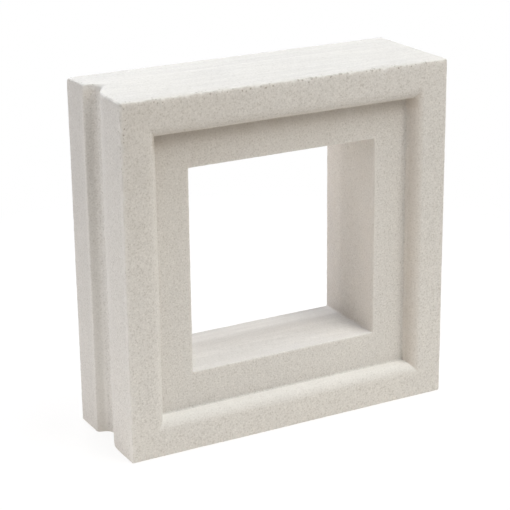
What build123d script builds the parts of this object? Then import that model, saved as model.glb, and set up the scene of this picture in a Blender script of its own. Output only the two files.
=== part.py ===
"""Square precast concrete ventilation block, one solid casting.

Frame: origin on the floor under the middle of the block, X across its width, Y from its front
face to its back face, Z up. Lengths are in millimetres and angles in degrees.

The two broad faces are alike. A flat rim rolls over a rounded shoulder into a shallow square
recess, and a flat ledge runs from there to the square vent, whose walls draw in to a waist.
A channel for mortar and a reinforcing rod runs up the full height of the left side face.
"""

import os
from math import copysign, radians, tan

from build123d import *

# The block as cast
block_width = 190.0
block_height = 190.0
block_depth = 65.0
upright_arris_radius = 1.5
bed_arris_radius = 1.0

# Each broad face, from the outer edge inwards
rim_width = 20.0
shoulder_radius = 6.0
recess_depth = 8.0
ledge_width = 20.0

# The vent: its lip on each ledge, and the waist, which lies a little behind mid-depth
vent_corner_radius = 1.5
lip_radius = 0.8
waist_step = 3.4
waist_offset = 5.5
waist_radius = 20.0

# The channel in the left side face, seen in plan
front_strip = 23.3
channel_width = 21.7
channel_slope = 25.0
channel_lean = 18.0
channel_shoulder_radius = 20.0
channel_floor_radius = 5.0

# Each recess is cut from this far outside its face
face_overrun = 2.0

# An edge belongs to an opening if it lies this close to the opening's outline
edge_tolerance = 0.01

left_x = -block_width / 2
right_x = block_width / 2
front_y = -block_depth / 2
back_y = block_depth / 2
front_ledge_y = front_y + recess_depth
back_ledge_y = back_y - recess_depth
middle_z = block_height / 2
vent_inset = rim_width + ledge_width


def channel_corners():
    """The channel's corners in plan: back lip, floor and front lip."""
    front_lip_y = front_y + front_strip
    back_lip_y = front_lip_y + channel_width
    slope = tan(radians(channel_slope))
    lean = tan(radians(channel_lean))
    depth = slope * channel_width / (1 + slope * lean)
    return (left_x, back_lip_y), (left_x + depth, back_lip_y - depth * lean), (left_x, front_lip_y)


def round_corner(plan, x, y, radius):
    """The plan with its corner at x, y rounded."""
    corner = min(plan.vertices(), key=lambda vertex: abs(vertex.X - x) + abs(vertex.Y - y))
    return fillet(corner, radius)


def block_plan():
    """Plan of the block: a rectangle with the channel in its left side, all corners rounded."""
    back_lip, floor, front_lip = channel_corners()
    corners = [
        (left_x, front_y, upright_arris_radius),
        (right_x, front_y, upright_arris_radius),
        (right_x, back_y, upright_arris_radius),
        (left_x, back_y, upright_arris_radius),
        (*back_lip, upright_arris_radius),
        (*floor, channel_floor_radius),
        (*front_lip, channel_shoulder_radius),
    ]
    plan = make_face(Polyline(*[(x, y) for x, y, _ in corners], close=True))
    for x, y, radius in corners:
        plan = round_corner(plan, x, y, radius)
    return plan


def outer_block():
    """The block before its recesses and vent, with the arrises of its two bed faces eased."""
    block = extrude(block_plan(), block_height)
    bed_faces = block.faces().sort_by(Axis.Z)
    return fillet(bed_faces[0].edges() + bed_faces[-1].edges(), bed_arris_radius)


def upright_square(y, inset):
    """An upright square across the block at depth y, set that far in from its outline."""
    across = Plane(origin=(0, y, middle_z), x_dir=(1, 0, 0), z_dir=(0, 1, 0))
    return across * Rectangle(block_width - 2 * inset, block_height - 2 * inset)


def recess(face_y, ledge_y):
    """The shallow square recess in one broad face."""
    outside_y = face_y + copysign(face_overrun, face_y)
    return extrude(upright_square(outside_y, rim_width), ledge_y - outside_y)


def half_vent(ledge_y):
    """The vent from one ledge to the waist, with rounded corners."""
    ends = [upright_square(ledge_y, vent_inset), upright_square(waist_offset, vent_inset + waist_step)]
    return loft([fillet(end.vertices(), vent_corner_radius) for end in ends])


def opening_edges(block, y, inset):
    """The edges round an opening at depth y, set that far in from the outline."""
    reach_x = block_width / 2 - inset + edge_tolerance
    reach_z = block_height / 2 - inset + edge_tolerance
    edges = block.edges().filter_by_position(Axis.Y, y - edge_tolerance, y + edge_tolerance)
    edges = edges.filter_by_position(Axis.X, -reach_x, reach_x)
    return edges.filter_by_position(Axis.Z, middle_z - reach_z, middle_z + reach_z)


def vent_block():
    """The finished casting."""
    block = outer_block() - recess(front_y, front_ledge_y) - recess(back_y, back_ledge_y)
    block = block - (half_vent(front_ledge_y) + half_vent(back_ledge_y))
    block = fillet(opening_edges(block, waist_offset, vent_inset + waist_step), waist_radius)
    for face_y, ledge_y in ((front_y, front_ledge_y), (back_y, back_ledge_y)):
        block = fillet(opening_edges(block, face_y, rim_width), shoulder_radius)
        block = fillet(opening_edges(block, ledge_y, vent_inset), lip_radius)
    return block


def main():
    """Write the block's solid and print what it measures."""
    os.makedirs("parts", exist_ok=True)
    block = vent_block()
    export_step(block, "parts/vent_block.step")
    size = block.bounding_box().size
    channel_depth = channel_corners()[1][0] - left_x
    print(f"vent_block: {size.X:.1f} x {size.Y:.1f} x {size.Z:.1f} mm, {block.volume / 1000:.1f} cm3")
    print(f"channel corner depth before its floor is rounded: {channel_depth:.2f} mm")


main()
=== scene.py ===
# %% [markdown]
# # A cast concrete ventilation block
#
# The real object is one casting: a square frame of pale sandy concrete, open in the middle, used to
# build a wall that lets air and light through. Its faces were shaped by a smooth steel mould, so
# the surfaces are flat and true. Its edges are less perfect, because sand grains break away there
# when the mould comes off.
#
# The engineering model already has the exact sizes. This script loads it as a fixed frame, builds a
# second skin with the crumbled edges and the sandy face, and sets it on a table under studio light.

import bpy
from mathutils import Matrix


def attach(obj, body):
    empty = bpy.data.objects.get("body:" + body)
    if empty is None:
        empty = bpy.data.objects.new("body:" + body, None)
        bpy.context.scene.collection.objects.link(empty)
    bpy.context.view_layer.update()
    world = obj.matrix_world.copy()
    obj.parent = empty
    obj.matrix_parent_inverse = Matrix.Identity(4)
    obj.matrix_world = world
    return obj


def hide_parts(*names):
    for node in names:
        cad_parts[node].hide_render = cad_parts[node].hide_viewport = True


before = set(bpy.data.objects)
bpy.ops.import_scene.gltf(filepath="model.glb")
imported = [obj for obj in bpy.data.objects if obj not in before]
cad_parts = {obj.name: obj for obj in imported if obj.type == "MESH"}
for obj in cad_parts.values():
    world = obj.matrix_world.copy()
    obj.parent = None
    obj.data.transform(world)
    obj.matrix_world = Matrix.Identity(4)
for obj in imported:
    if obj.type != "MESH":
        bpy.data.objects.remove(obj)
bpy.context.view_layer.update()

# %% The tools of this lesson
import math
import random

import bpy
import numpy as np
from mathutils import Matrix, Vector, noise

METRES = 0.001
print("lengths below are in millimetres and are turned into metres when a mesh is made")

# %% [markdown]
# ## The block's sizes
#
# Cut through one of the four bars of the frame and look at the section. Going inwards from the
# outer edge there is a flat rim, a rounded shoulder down into a shallow recess, a flat ledge, and
# then the wall of the vent, which draws in to a waist. The back repeats the front.
#
# The sizes and most of their names are the engineering model's, so the skin and the solid agree. A
# few small ones are nearer to the real block here: the arrises and the corners of the vent are
# crisper than the model's, the coves are a little rounder, and the waist is shallower and lies
# further back.

# %% Sizes of the block
block_width = 190.0
block_height = 190.0
block_depth = 65.0
rim_width = 20.0
recess_depth = 8.0
ledge_width = 20.0
waist_step = 0.9
waist_offset = 8.0

arris_radius = 0.8
shoulder_radius = 6.0
cove_radius = 1.0
lip_radius = 0.8
waist_radius = 20.0

front = -block_depth / 2
back = block_depth / 2
front_ledge = front + recess_depth
back_ledge = back - recess_depth
vent_inset = rim_width + ledge_width
print("vent opening:", block_width - 2 * vent_inset, "mm square")

# %% [markdown]
# ## The channel in the left side
#
# The left side face has a channel from top to bottom, which takes mortar and a thin steel rod.
# Seen from above it is lopsided: a long slope comes in gently from the front strip, and a steep wall
# goes back out to the rear strip. Three corners and three radii describe it.

# %% Corners of the side channel
front_strip = 23.3
channel_width = 21.7
channel_slope = math.tan(math.radians(25.0))
channel_lean = math.tan(math.radians(18.0))
back_lip_radius = 1.5
channel_floor_radius = 5.0
channel_shoulder_radius = 20.0

channel_front = front + front_strip
channel_back = channel_front + channel_width
channel_depth = channel_slope * channel_width / (1 + channel_slope * channel_lean)
channel_floor = channel_back - channel_depth * channel_lean
print(f"the channel's corner lies {channel_depth:.1f} mm deep, before it is rounded")

# %% [markdown]
# ## Walking round a section
#
# A section with rounded corners can be drawn as a walk: straight on, round a corner, straight on
# again. Each corner is given as a point and a radius. Points crowd together on the curves and near
# the ends of each straight run, where the edges will crumble, and thin out on the flats.


# %% Helper: a walk past rounded corners
def corner_arc(before, corner, after, radius, degrees_per_step=13.0):
    """Points on the arc that rounds one corner of a walk."""
    to_before = (before - corner) / np.linalg.norm(before - corner)
    to_after = (after - corner) / np.linalg.norm(after - corner)
    half_angle = math.acos(np.clip(to_before @ to_after, -1, 1)) / 2
    reach = radius / math.tan(half_angle)
    middle = to_before + to_after
    centre = corner + middle / np.linalg.norm(middle) * radius / math.sin(half_angle)
    start = corner + to_before * reach - centre
    end = corner + to_after * reach - centre
    turn = math.pi - 2 * half_angle
    steps = max(2, math.ceil(math.degrees(turn) / degrees_per_step))
    shares = np.arange(steps + 1) / steps
    weights = np.stack([np.sin((1 - shares) * turn), np.sin(shares * turn)], 1) / math.sin(turn)
    return centre + weights @ np.stack([start, end])


def straight_run(start, end, spacing, crowding=0.7):
    """Points between two ends, ends left out, closer together near the ends."""
    steps = max(1, round(np.linalg.norm(end - start) / spacing))
    shares = np.arange(1, steps) / steps
    shares = shares - np.sin(2 * math.pi * shares) / (2 * math.pi) * crowding
    return start + shares[:, None] * (end - start)


def walk(start, corners, end, spacing):
    """Points from start to end, past corners that are each (inwards, depth, radius)."""
    stops = [np.array(start)] + [np.array(corner[:2]) for corner in corners] + [np.array(end)]
    points = [stops[0][None]]
    for before, corner, after, rounded in zip(stops, stops[1:], stops[2:], corners):
        arc = corner_arc(before, corner, after, rounded[2])
        points += [straight_run(points[-1][-1], arc[0], spacing), arc]
    points += [straight_run(points[-1][-1], stops[-1], spacing)]
    return np.concatenate(points)


short_walk = walk((0.0, 0.0), [(10.0, 0.0, 2.0)], (10.0, 10.0), spacing=2.0)
print("a short walk round one corner has", len(short_walk), "points")

# %% [markdown]
# ## The section of the frame
#
# The walk starts on the outer side, near the front, goes over the front of the bar, through the vent
# and over the back, and returns along the outer side, this time through the channel. Only the left
# bar has the channel, so the outer side is kept as a separate part of the walk.

# %% Section of one bar
point_spacing = 2.8
clear_of_arris = 4 * arris_radius

over_the_bar = [
    (0.0, front, arris_radius),
    (rim_width, front, shoulder_radius),
    (rim_width, front_ledge, cove_radius),
    (vent_inset, front_ledge, lip_radius),
    (vent_inset + waist_step, waist_offset, waist_radius),
    (vent_inset, back_ledge, lip_radius),
    (rim_width, back_ledge, cove_radius),
    (rim_width, back, shoulder_radius),
    (0.0, back, arris_radius),
]
outer_side = [
    (0.0, channel_back, back_lip_radius),
    (channel_depth, channel_floor, channel_floor_radius),
    (0.0, channel_front, channel_shoulder_radius),
]
side_start = (0.0, front + clear_of_arris)
side_end = (0.0, back - clear_of_arris)
bar = walk(side_start, over_the_bar, side_end, point_spacing)
side = walk(side_end, outer_side, side_start, point_spacing)[1:-1]
section = np.concatenate([bar, side])
print("points round one bar:", len(section), "of which", len(side), "lie on its outer side")

# %% [markdown]
# ## Sweeping the section round the square
#
# Every point of the section becomes a ring: an upright rectangle with small round corners, which
# runs round the whole frame. Rings of neighbouring points are joined by four-sided faces. The
# result closes on itself like a square doughnut, with no seams, and its corners are mitred as the
# mould's corners are.
#
# A boolean cut would give the same form, but with long thin triangles that can't crumble.

# %% Stations round the frame
stations_a_side = 180
corner_stations = 4


def station_table():
    """For each station: which way it lies from the middle (x, z), and which way its corner turns."""
    quarter = []
    for step in range(stations_a_side):
        quarter.append((2 * (step + 0.5) / stations_a_side - 1, -1.0, 0.0, -1.0))
    for step in range(corner_stations):
        angle = math.radians(90 * (step + 0.5) / corner_stations - 90)
        quarter.append((1.0, -1.0, math.cos(angle), math.sin(angle)))
    rows = np.array(quarter)
    table = []
    for _ in range(4):
        table.append(rows)
        rows = np.stack([-rows[:, 1], rows[:, 0], -rows[:, 3], rows[:, 2]], 1)
    return np.concatenate(table)


stations = station_table()
print("stations round the frame:", len(stations))

# %% Rings of the frame
mitre_radius = 0.4
vent_corner_radius = 0.8


def ring(inset, depth, on_the_side):
    """The points of one ring, in millimetres. On the outer side only its left edge is set in."""
    share = np.clip((inset - rim_width) / ledge_width, 0, 1)
    radius = mitre_radius + (vent_corner_radius - mitre_radius) * share
    if inset < arris_radius or on_the_side:
        radius = arris_radius
    other_inset = 0.0 if on_the_side else inset
    half_width = block_width / 2 - (inset + other_inset) / 2 - radius
    half_height = block_height / 2 - other_inset - radius
    x = stations[:, 0] * half_width + stations[:, 2] * radius + (inset - other_inset) / 2
    z = stations[:, 1] * half_height + stations[:, 3] * radius + block_height / 2
    return np.stack([x, np.full(len(x), depth), z], 1)


skin_points = np.array([ring(*point, on_the_side=index >= len(bar)) for index, point in enumerate(section)])
print("rings and stations:", skin_points.shape[:2])

# %% Faces between the rings
ring_count, station_count = skin_points.shape[:2]
here = np.arange(ring_count * station_count).reshape(ring_count, station_count)
next_ring = np.roll(here, -1, axis=0)
next_station = np.roll(here, -1, axis=1)
next_both = np.roll(next_ring, -1, axis=1)
skin_faces = np.stack([here, next_station, next_both, next_ring], -1).reshape(-1, 4)
print("four-sided faces:", len(skin_faces), "- as triangles:", 2 * len(skin_faces))


# %% Make the cast block
def make_mesh(name, points, faces):
    """A smooth-shaded mesh object from points in millimetres."""
    mesh = bpy.data.meshes.new(name)
    mesh.from_pydata((points * METRES).tolist(), [], faces.tolist())
    mesh.polygons.foreach_set("use_smooth", np.ones(len(faces), bool))
    mesh.update()
    piece = bpy.data.objects.new(name, mesh)
    bpy.context.scene.collection.objects.link(piece)
    return piece


points = skin_points.reshape(-1, 3)
cast_block = make_mesh("cast_block", points, skin_faces)


def enclosed_volume(points, faces):
    """Volume inside a closed skin, positive when its faces look outwards."""
    a, b, c, d = (points[faces[:, corner]] for corner in range(4))
    first = np.einsum("ij,ij->i", a, np.cross(b, c))
    second = np.einsum("ij,ij->i", a, np.cross(c, d))
    return (first.sum() + second.sum()) / 6


print(f"volume of the smooth skin: {enclosed_volume(points, skin_faces) / 1000:.0f} cubic centimetres")

# %% [markdown]
# ## Crumbled edges
#
# On the real block the mould left straight edges, and then sand grains broke out of them. Three
# edges suffered most: the top edge of the front, the top edge of the left side, and the upright edge
# between those two faces. The others are nearly sharp.
#
# Each skin point gets a number for how close it is to an edge, and the closer it is, the further
# noise pushes it inwards. A modifier could displace the mesh too, but by itself it can't tell an edge
# from a flat face.

# %% Distance of each point from the six outer faces
on_outside = (section[:, 0] < arris_radius) | (np.arange(ring_count) >= len(bar))
left_face = np.where(on_outside, skin_points[:, :, 0].min(axis=1), -block_width / 2)
to_left = points[:, 0] - np.repeat(left_face, station_count)
to_right = block_width / 2 - points[:, 0]
to_front = points[:, 1] - front
to_back = back - points[:, 1]
to_bottom = points[:, 2]
to_top = block_height - points[:, 2]
print("points on the top face:", int((to_top < 0.01).sum()))

# %% How worn each point is
edge_reach = 1.5
lightly_worn = 0.15
lip_wear = 0.20


def closeness(distance, reach):
    """1 on the edge, falling to nothing a few reaches away."""
    return np.exp(-((distance / reach) ** 2))


def ring_closeness(corner, reach):
    """Closeness to one corner of the section, for every point of the rings round it."""
    distance = np.linalg.norm(section - np.array(corner[:2]), axis=1)
    return np.repeat(closeness(distance, reach), station_count)


well_worn_edges = ((to_front, to_top), (to_front, to_left), (to_left, to_top))
nearest_two = np.sort(np.stack([to_left, to_right, to_front, to_back, to_bottom, to_top]), axis=0)[:2]
wear = lightly_worn * closeness(np.hypot(*nearest_two), edge_reach)
for one_face, other_face in well_worn_edges:
    wear = np.maximum(wear, closeness(np.hypot(one_face, other_face), edge_reach))
for lip in (over_the_bar[3], over_the_bar[5]):
    wear = np.maximum(wear, lip_wear * ring_closeness(lip, edge_reach))
print("points that can crumble:", int((wear > 0.3).sum()))


# %% Noise, and the way each point faces
def rough(points, grain, seed):
    """Smooth random numbers between about -1 and 1, one for each point, as coarse as the grain."""
    seeds_apart = np.array([17.3, 5.1, 9.7])
    shifted = points / grain + seeds_apart * seed
    return np.array([noise.noise(Vector(point)) for point in shifted])


directions = np.empty(len(points) * 3)
cast_block.data.vertices.foreach_get("normal", directions)
directions = directions.reshape(-1, 3)
print("directions point outwards:", bool((directions * (points - points.mean(axis=0))).sum() > 0))

# %% Chips broken out of the worst edges
chips = random.Random(7)
chip_count = 40
chip_radii = (0.9, 2.0)
chip_depths = (0.3, 0.9)


def chip_spots():
    """Places on the three worst edges where a few grains broke out together, with radius and depth."""
    spots = []
    for _ in range(chip_count):
        along = chips.random()
        places = (
            ((along - 0.5) * block_width, front, block_height),
            (-block_width / 2, front, block_height * (1 - along * along)),
            (-block_width / 2, front + along * block_depth, block_height),
        )
        spots.append((chips.choice(places), chips.uniform(*chip_radii), chips.uniform(*chip_depths)))
    return spots


broken = np.zeros(len(points))
for spot, radius, depth in chip_spots():
    distance = np.linalg.norm(points - np.array(spot), axis=1) / radius
    broken = np.maximum(broken, depth * np.clip(1 - distance**2, 0, 1))
print("deepest chip:", round(float(broken.max()), 2), "mm")

# %% [markdown]
# ## The worn end of the channel
#
# Where the channel comes out at the top, its edge is rubbed round by more than the edge's own small
# radius. Points pushed in along their own directions would cross there and fold the skin. So all the
# points near that edge move together, down and into the wall, and no crumbling is added to them.

# %% Rub the channel's top end round
rubbed_reach = 2.0
rubbed_width = 8.0
rubbed_depth = 1.1

left_middle = int(np.argmin(stations[:, 0] + np.abs(stations[:, 1])))
ring_directions = directions.reshape(ring_count, station_count, 3)
wall_directions = np.repeat(ring_directions[:, left_middle], station_count, axis=0)
upwards = np.array([0.0, 0.0, 1.0])
into_the_wall = -(wall_directions + upwards) / math.sqrt(2)
near_top_edge = closeness(np.hypot(to_left, to_top), rubbed_reach)
rubbed = near_top_edge * closeness(points[:, 1] - channel_floor, rubbed_width)
rubbed_points = points + rubbed_depth * rubbed[:, None] * into_the_wall
lowered = points[:, 2].max() - rubbed_points[rubbed > 0.9, 2].max()
print("the middle of the channel's top edge lies", round(float(lowered), 2), "mm lower")

# %% [markdown]
# ## The skin of the concrete
#
# Away from its edges the block is flat, but not like glass: it swells and sinks by about a tenth of
# a millimetre over a few centimetres, and is pitted by sand on a smaller scale.

# %% Push the skin in and out
swell_depth = 0.08
swell_width = 38.0
pit_depth = 0.05
pit_width = 5.0
grain_depth = 0.60
grain_width = 1.6
more_grains = 0.15
clump_depth = 0.45
clump_width = 4.0

swell = swell_depth * rough(points, swell_width, seed=1)
pitting = pit_depth * rough(points, pit_width, seed=2)
lost_grains = grain_depth * np.clip(more_grains + rough(points, grain_width, seed=4), 0, 1)
lost_clumps = clump_depth * np.clip(rough(points, clump_width, seed=5), 0, 1)
crumble = lost_grains + lost_clumps
push = swell + pitting - wear * crumble * (1 - rubbed) - broken
worn_points = rubbed_points + directions * push[:, None]
low = np.array([-block_width / 2, front, 0.0])
high = np.array([block_width / 2, back, block_height])
worn_points = np.clip(worn_points, low, high)
cast_block.data.vertices.foreach_set("co", (worn_points * METRES).reshape(-1))
cast_block.data.update()
print("deepest wear:", round(float(-push.min()), 2), "mm")


# %% Tell the material where the block is worn, and where its lips carry a painted highlight
def paint(name, values):
    """Keep one number for each point of the skin, under a name that the material can read."""
    layer = cast_block.data.attributes.new(name, "FLOAT", "POINT")
    layer.data.foreach_set("value", np.clip(values, 0, 1))


least_grains_shown = 0.5
lip_highlight_share = 0.35
porous_reach = 3.2
pores_at_foot = 0.3

porous = np.zeros(len(points))
for one_face, other_face in well_worn_edges:
    porous = np.maximum(porous, closeness(np.hypot(one_face, other_face), porous_reach))
height_share = points[:, 2] / block_height
# Thin painted highlights along the vent's front lip and the channel's back lip, added to the broken grains.
highlighted_lips = ring_closeness(over_the_bar[3], lip_radius) + ring_closeness(outer_side[0], back_lip_radius)
grains_shown = (wear * (least_grains_shown + crumble) + broken) * (1 - rubbed)
paint("broken_grains_and_highlight", grains_shown + lip_highlight_share * highlighted_lips)
paint("porous_edge", porous * (pores_at_foot + (1 - pores_at_foot) * height_share**2) * (1 - rubbed))
print("painted:", [layer.name for layer in cast_block.data.attributes if layer.data_type == "FLOAT"])

# %% [markdown]
# ## Painted shade and painted light
#
# The block's colour carries painted shade and painted light. Painted shade lies under the top rim,
# down the right shoulder and in the top left corner, and the whole front is painted a little duller
# towards the top, as is the front of the sill. Painted light brightens what faces up, the shoulder at
# the bottom and the rear of the sill, and the foot of the channel. Painted shade makes the left side
# grey, more so towards the top and at the rear, and the inner faces that look left warmer than the
# rest. All of it follows the form, so it is painted on the skin's points, as the broken edges are.
# Noise alone would put it anywhere.

# %% Painted shade under the rim, down the right shoulder and in the corner
shade_below_rim = 2.0
shade_reach = 4.6
right_shoulder_shade = 0.3
rolled_shade = 0.4
shaded_corner_reach = 90.0

inset = np.repeat(section[:, 0], station_count)
facing_left = np.clip(-directions[:, 0], 0, 1)
facing_front = np.clip(-directions[:, 1], 0, 1)
in_recess = (inset > rim_width - shoulder_radius / 2) & (inset < vent_inset)
# Painted shadow just under the top rim, on the shoulder and the ledge.
under_rim = in_recess * closeness(to_top - rim_width - shade_below_rim, shade_reach)
on_shoulder = (inset > rim_width - shoulder_radius) & (inset < rim_width)
# Painted shade down the right shoulder, which looks left, darker where it also faces the front.
right_shoulder = on_shoulder * facing_left * (right_shoulder_shade + rolled_shade * facing_front)
# Painted shade over the front, darkest at its top left corner.
corner_distance = np.linalg.norm(points - np.array([-block_width / 2, front, block_height]), axis=1)
shaded_corner = (facing_front > 0.5) * closeness(corner_distance, shaded_corner_reach)
paint("shade_in_recess", np.maximum(under_rim, right_shoulder))
paint("shaded_corner", shaded_corner)
# Painted shade: the front grows darker towards the top.
paint("front_top_shade", facing_front * height_share)
# Painted warm shade on the inner faces that look left.
paint("warm_shade", (inset > rim_width - shoulder_radius) * facing_left)
print("points under the rim with painted shade:", int((under_rim > 0.5).sum()))

# %% Painted light on the faces that look up, and painted shade on the sill
top_face_reach = 0.5
sill_light_middle = 17.0
sill_light_reach = 6.0
shaded_sill_end = 7.0
shaded_sill_reach = 4.0

facing_up = np.clip(directions[:, 2], 0, 1)
on_sill = (inset >= vent_inset) * facing_up
low_shoulder = (inset > rim_width - shoulder_radius) * (inset <= rim_width) * (to_bottom < vent_inset)
on_low_shoulder = low_shoulder * facing_up
# Painted light on the bottom shoulder, which faces up, and on the rear of the sill.
light_on_up_faces = on_low_shoulder + on_sill * closeness(points[:, 1] - sill_light_middle, sill_light_reach)
# Painted shade on the sill, full over its front part and fading out behind it.
paint("shaded_sill", on_sill * closeness(np.maximum(points[:, 1] - shaded_sill_end, 0), shaded_sill_reach))
paint("smooth_face", np.maximum(closeness(to_top, top_face_reach), on_sill))
print("points on the bottom shoulder with painted light:", int((on_low_shoulder > 0.5).sum()))

# %% Painted shade on the left side, and painted light at the foot of its channel
left_side_reach = 1.0
side_rear_shade_at_foot = 0.3
side_front_shade_at_top = 0.8
lit_foot_height = 150.0

on_left_side = closeness(to_left, left_side_reach)
rear_strip = on_left_side * np.clip((points[:, 1] - channel_back) / back_lip_radius, 0, 1)
before_channel = on_left_side * np.clip(1 - inset / channel_depth, 0, 1) * (points[:, 1] < channel_floor)
# Painted shade: the left side greyer towards the top, more so on the rear strip. The rubbed end of the
# channel takes the same grey.
side_rear_shade = rear_strip * (side_rear_shade_at_foot + height_share)
side_front_shade = before_channel * side_front_shade_at_top * height_share
paint("shaded_side", side_rear_shade + side_front_shade + rubbed)
on_rear_wall = on_left_side * (points[:, 1] > channel_floor) * np.clip(inset, 0, 1)
# Painted light on the channel's rear wall, strongest at its foot.
lit_foot = on_rear_wall * np.clip(1 - points[:, 2] / lit_foot_height, 0, 1)
paint("painted_light", light_on_up_faces + lit_foot)
print("points on the rear strip:", int((rear_strip > 0.5).sum()))

# %% [markdown]
# ## The concrete
#
# Up close, pale concrete is not one colour. Cement paste, light sand, a few darker grains and tiny
# air holes lie side by side, and larger clouds of slightly warmer and cooler paste lie over them.
# Each of these is a noise of its own size, measured in the block's own space, so the pattern runs
# through the block as it would in a real casting.


# %% Helpers for the concrete's nodes
class Recipe:
    """A material's nodes, added one by one."""

    def __init__(self, name):
        self.material = bpy.data.materials.new(name)
        self.material.use_nodes = True
        self.nodes = self.material.node_tree.nodes
        self.links = self.material.node_tree.links
        self.shader = self.nodes["Principled BSDF"]

    def add(self, kind, settings=None, **inputs):
        """A node with its settings, and its inputs given as numbers or as other nodes' outputs."""
        node = self.nodes.new(kind)
        for name, value in (settings or {}).items():
            setattr(node, name, value)
        for name, value in inputs.items():
            self.feed(node.inputs[name.replace("_", " ")], value)
        return node

    def feed(self, socket, value):
        """Set an input, or link it when the value is another node's output."""
        if isinstance(value, bpy.types.NodeSocket):
            self.links.new(value, socket)
        else:
            socket.default_value = value

    def cloud(self, place, per_metre, detail=2.0):
        """Noise between 0 and 1, with about so many bumps to the metre."""
        node = self.add("ShaderNodeTexNoise", Vector=place, Scale=per_metre, Detail=detail, Roughness=0.5)
        return node.outputs["Fac"]

    def spread(self, value, low, high, to_low=0.0, to_high=1.0):
        """Stretch the values between low and high over a new range."""
        node = self.add("ShaderNodeMapRange", Value=value)
        limits = (low, high, to_low, to_high)
        for name, number in zip(("From Min", "From Max", "To Min", "To Max"), limits):
            self.feed(node.inputs[name], number)
        return node.outputs["Result"]

    def blend(self, share, first, second):
        """Mix two colours."""
        node = self.add("ShaderNodeMix", {"data_type": "RGBA"})
        for index, value in ((0, share), (6, first), (7, second)):
            self.feed(node.inputs[index], value)
        return node.outputs[2]

    def work(self, operation, first, second):
        """A sum, a product or another calculation with two numbers."""
        node = self.add("ShaderNodeMath", {"operation": operation})
        self.feed(node.inputs[0], first)
        self.feed(node.inputs[1], second)
        return node.outputs[0]

    def painted(self, name):
        """Numbers that were painted on the skin."""
        return self.add("ShaderNodeAttribute", {"attribute_name": name}).outputs["Fac"]


print("a recipe adds nodes, and links them when an input is another node's output")

# %% Colour of the concrete
concrete = Recipe("concrete")
place = concrete.add("ShaderNodeTexCoord").outputs["Object"]
paste_pale = (0.662, 0.642, 0.606, 1.0)
paste_grey = (0.638, 0.620, 0.590, 1.0)
sand_dark = (0.330, 0.300, 0.255, 1.0)
sand_light = (0.800, 0.780, 0.735, 1.0)
clouds_per_metre = 22.0
grains_per_metre = 1150.0
dark_sand_share = 0.52
light_sand_share = 0.72
sand_on_smooth_faces = 0.55

clouds = concrete.spread(concrete.cloud(place, clouds_per_metre, detail=3.0), 0.35, 0.65)
colour = concrete.blend(clouds, paste_grey, paste_pale)
grain = concrete.cloud(place, grains_per_metre, detail=1.0)
smooth_face = concrete.painted("smooth_face")
grainy = concrete.spread(smooth_face, 0.0, 1.0, 1.0, sand_on_smooth_faces)
dark_grains = concrete.work("MULTIPLY", concrete.spread(grain, 0.46, 0.20, 0.0, dark_sand_share), grainy)
light_grains = concrete.work("MULTIPLY", concrete.spread(grain, 0.54, 0.80, 0.0, light_sand_share), grainy)
colour = concrete.blend(dark_grains, colour, sand_dark)
colour = concrete.blend(light_grains, colour, sand_light)
print("the paste and two kinds of sand are mixed")

# %% Air holes
hole_dark = (0.210, 0.180, 0.140, 1.0)
hole_darkness = 0.65
face_hole_share = 0.4
face_holes_per_metre = 300.0
face_hole_limit = 0.20
edge_holes_per_metre = 480.0
edge_hole_limit = 0.35

holes = concrete.add("ShaderNodeTexVoronoi", Vector=place, Scale=face_holes_per_metre, Randomness=1.0)
hole_size = concrete.spread(concrete.cloud(place, per_metre=110.0), 0.56, 0.80, 0.0, face_hole_limit)
in_hole = concrete.work("LESS_THAN", holes.outputs["Distance"], hole_size)
edge_holes = concrete.add("ShaderNodeTexVoronoi", Vector=place, Scale=edge_holes_per_metre, Randomness=1.0)
clusters = concrete.spread(concrete.cloud(place, per_metre=70.0), 0.32, 0.54, 0.0, edge_hole_limit)
edge_hole_size = concrete.work("MULTIPLY", concrete.painted("porous_edge"), clusters)
in_edge_hole = concrete.work("LESS_THAN", edge_holes.outputs["Distance"], edge_hole_size)
pits = concrete.work("MAXIMUM", concrete.work("MULTIPLY", in_hole, face_hole_share), in_edge_hole)
colour = concrete.blend(concrete.work("MULTIPLY", pits, hole_darkness), colour, hole_dark)
print("the edges hold more and smaller holes than the faces")

# %% Painted shade and light in the colour
# Browns and a grey for the painted shade. The painted light goes towards light sand.
shade_brown = (0.330, 0.265, 0.200, 1.0)
shade_grey = (0.400, 0.385, 0.370, 1.0)
warm_shade_colour = (0.720, 0.620, 0.520, 1.0)
uneven = concrete.spread(concrete.cloud(place, per_metre=90.0, detail=3.0), 0.30, 0.70, 0.75, 1.0)
# Every mark here is painted shade except the last, which is painted light.
for mark, strength, mark_colour in (
    ("shade_in_recess", 0.50, shade_brown),
    ("shaded_corner", 0.16, shade_brown),
    ("shaded_sill", 0.14, shade_brown),
    ("front_top_shade", 0.11, shade_brown),
    ("warm_shade", 0.34, warm_shade_colour),
    ("shaded_side", 0.42, shade_grey),
    ("painted_light", 0.60, sand_light),
):
    share = concrete.work("MULTIPLY", concrete.painted(mark), concrete.work("MULTIPLY", uneven, strength))
    colour = concrete.blend(share, colour, mark_colour)
print("painted shade and light are mixed into the colour")

# %% Broken edges with painted highlights on the lips, and streaks on the smooth faces
edge_and_highlight_lightness = 0.60
streak_stretch = 10.0

broken_grains_and_highlight = concrete.painted("broken_grains_and_highlight")
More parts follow.
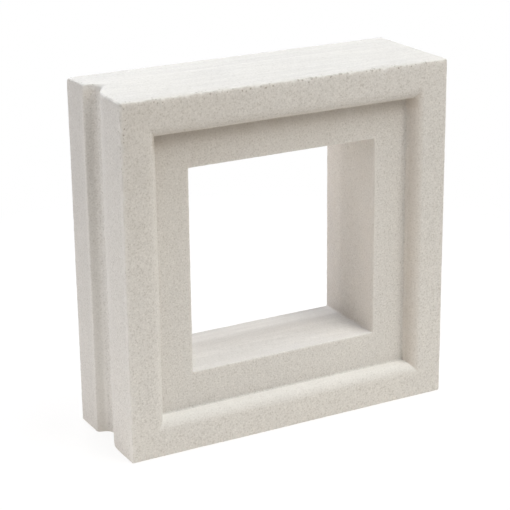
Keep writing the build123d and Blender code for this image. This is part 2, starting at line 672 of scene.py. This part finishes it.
# Broken grains and the painted lip highlights both lighten towards light sand.
colour = concrete.blend(concrete.work("MULTIPLY", broken_grains_and_highlight, edge_and_highlight_lightness), colour, sand_light)
along_streaks = (1 / streak_stretch, 1.0, 1.0)
stretched = concrete.add("ShaderNodeMapping", Vector=place, Scale=along_streaks).outputs["Vector"]
streaks = concrete.spread(concrete.cloud(stretched, per_metre=260.0), 0.35, 0.65, 0.965, 1.025)
face_streaks = concrete.add("ShaderNodeMix", {"data_type": "FLOAT"})
concrete.feed(face_streaks.inputs[0], smooth_face)
concrete.feed(face_streaks.inputs[2], 1.0)
concrete.feed(face_streaks.inputs[3], streaks)
mottle = concrete.spread(concrete.cloud(place, per_metre=240.0), 0.30, 0.70, 0.985, 1.015)
value = concrete.work("MULTIPLY", mottle, face_streaks.outputs[0])
tone = concrete.add("ShaderNodeHueSaturation", Color=colour, Value=value)
concrete.feed(concrete.shader.inputs["Base Color"], tone.outputs["Color"])
print("the top and the sill are smoother than the rest, with faint streaks")

# %% Touch of the concrete
grain_relief = 0.6
relief_height = 0.4 * METRES

relief = concrete.work("MULTIPLY", grain, grain_relief)
relief = concrete.work("ADD", relief, concrete.cloud(place, per_metre=480.0))
relief = concrete.work("SUBTRACT", relief, pits)
bump = concrete.add("ShaderNodeBump", Height=relief, Strength=0.40, Distance=relief_height)
concrete.feed(concrete.shader.inputs["Normal"], bump.outputs["Normal"])
roughness = concrete.spread(grain, 0.3, 0.7, 0.82, 0.95)
concrete.feed(concrete.shader.inputs["Roughness"], roughness)
concrete.shader.inputs["Specular IOR Level"].default_value = 0.3
cast_block.data.materials.append(concrete.material)
print("nodes in the concrete:", len(concrete.nodes))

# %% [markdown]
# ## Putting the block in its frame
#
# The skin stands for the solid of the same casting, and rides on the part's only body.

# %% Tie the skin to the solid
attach(cast_block, "root")
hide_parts("vent_block")
print("the cast block stands for the node vent_block")

# %% [markdown]
# ## The table
#
# A white table in a white room. The camera sees the table white like the room, so that the picture
# has a plain ground, but near the block the table keeps a little of its own shading, and so carries
# the block's soft shadow. It also throws light back up on the block, as a real one does, and a faint
# warm glow round the block adds to that.


# %% White table
def seen_directly(recipe):
    """1 for rays from the camera, or mirrored or refracted ones, and 0 for plain light."""
    rays = recipe.add("ShaderNodeLightPath").outputs
    either = recipe.work("MAXIMUM", rays["Is Camera Ray"], rays["Is Glossy Ray"])
    return recipe.work("MAXIMUM", either, rays["Is Transmission Ray"])


table_size = 6000.0
corners = np.array([(-1, -1, 0), (1, -1, 0), (1, 1, 0), (-1, 1, 0)]) * table_size / 2
table = make_mesh("table_top", corners, np.array([[0, 1, 2, 3]]))

white_top = Recipe("white_table")
white_top.shader.inputs["Base Color"].default_value = (0.80, 0.79, 0.77, 1.0)
white_top.shader.inputs["Roughness"].default_value = 0.8
from_middle = white_top.add("ShaderNodeVectorMath", {"operation": "LENGTH"})
white_top.feed(from_middle.inputs[0], white_top.add("ShaderNodeTexCoord").outputs["Object"])
from_middle = from_middle.outputs["Value"]
pool_strength = 0.24
pool = white_top.spread(from_middle, 0.25, 0.45, pool_strength, 0.0)
white_top.shader.inputs["Emission Color"].default_value = (1.0, 0.875, 0.75, 1.0)
white_top.feed(white_top.shader.inputs["Emission Strength"], pool)
print("table:", table_size / 1000, "m across")

# %% The table as the camera sees it
glow = white_top.add("ShaderNodeEmission", Color=(1.0, 1.0, 1.0, 1.0), Strength=1.0)
white_from = 0.40
whiteness = white_top.spread(from_middle, 0.12, white_from, 0.86, 1.0)
as_seen = white_top.add("ShaderNodeMixShader")
white_top.feed(as_seen.inputs[0], white_top.work("MULTIPLY", seen_directly(white_top), whiteness))
white_top.feed(as_seen.inputs[1], white_top.shader.outputs[0])
white_top.feed(as_seen.inputs[2], glow.outputs[0])
white_top.feed(white_top.nodes["Material Output"].inputs["Surface"], as_seen.outputs[0])
table.data.materials.append(white_top.material)
print("the table looks fully white from", white_from, "m off its middle")

# %% White room
room_light = 0.08


class Room(Recipe):
    """The world's nodes, added in the same way as a material's."""

    def __init__(self, name):
        self.world = bpy.data.worlds.new(name)
        self.world.use_nodes = True
        self.nodes = self.world.node_tree.nodes
        self.links = self.world.node_tree.links
        self.shader = self.nodes["Background"]


room = Room("white_room")
room.feed(room.shader.inputs["Color"], (1.0, 1.0, 1.0, 1.0))
room.feed(room.shader.inputs["Strength"], room.spread(seen_directly(room), 0.0, 1.0, room_light, 1.0))
bpy.context.scene.world = room.world
print("the room lights the block with strength", room_light)

# %% [markdown]
# ## Studio light
#
# Concrete has hardly any gloss, so only the amount and the warmth of the light tell its faces apart.
# Two wide soft lamps hang in front of the block, a warm one and a cooler one above it, and together
# they make the top the brightest face. A third stands at the left for the side. Behind the block a
# weak lamp at the left clears the far edges, and a small low one shines through the vent.

# %% Lamps
def soft_lamp(name, place, aim, size, watts, tint):
    """A square soft lamp that looks from one point to another, both in metres."""
    lamp = bpy.data.lights.new(name, "AREA")
    lamp.shape = "SQUARE"
    lamp.size = size
    lamp.energy = watts
    lamp.color = tint
    holder = bpy.data.objects.new(name, lamp)
    holder.location = place
    look = Vector(aim) - Vector(place)
    holder.rotation_euler = look.to_track_quat("-Z", "Y").to_euler()
    bpy.context.scene.collection.objects.link(holder)
    return holder


middle = (0.0, 0.0, 0.1)
wide = 0.9
narrow = 0.4
soft_lamp("key_lamp", (0.60, -1.04, 1.30), middle, wide, watts=11.15, tint=(1.0, 0.905, 0.80))
soft_lamp("high_lamp", (0.41, -0.41, 1.70), middle, wide, watts=20.5, tint=(0.89, 0.955, 1.0))
soft_lamp("left_lamp", (-1.6, 0.0, 0.68), middle, wide, watts=10.6, tint=(1.0, 0.985, 1.0))
soft_lamp("rear_left_lamp", (-0.99, 1.18, 0.818), middle, wide, watts=2.4, tint=(1.0, 0.88, 0.80))
soft_lamp("rear_lamp", (0.0, 0.6, 0.35), middle, narrow, watts=3.7, tint=(0.88, 0.91, 1.0))

# %% [markdown]
# ## The camera
#
# The camera stands in front and to the left, and looks down on the block a little. Its lens is long,
# so the upright edges stay nearly parallel.

# %% Camera
camera_place = Vector((-419.3, -762.8, 386.8)) * METRES
camera_turn = math.radians(28.54)
camera_dip = math.radians(18.98)
camera_roll = math.radians(0.65)

view = Vector((math.sin(camera_turn), math.cos(camera_turn), -math.tan(camera_dip)))
camera_data = bpy.data.cameras.new("studio_camera")
camera_data.sensor_width = 36.0
camera_data.lens = 120.83
camera = bpy.data.objects.new("studio_camera", camera_data)
camera.location = camera_place
upright = view.to_track_quat("-Z", "Y").to_matrix()
camera.rotation_euler = (upright @ Matrix.Rotation(-camera_roll, 3, "Z")).to_euler()
bpy.context.scene.collection.objects.link(camera)
bpy.context.scene.camera = camera
bpy.context.scene.view_settings.view_transform = "Standard"
print("the camera looks down by", round(math.degrees(camera_dip), 1), "degrees")
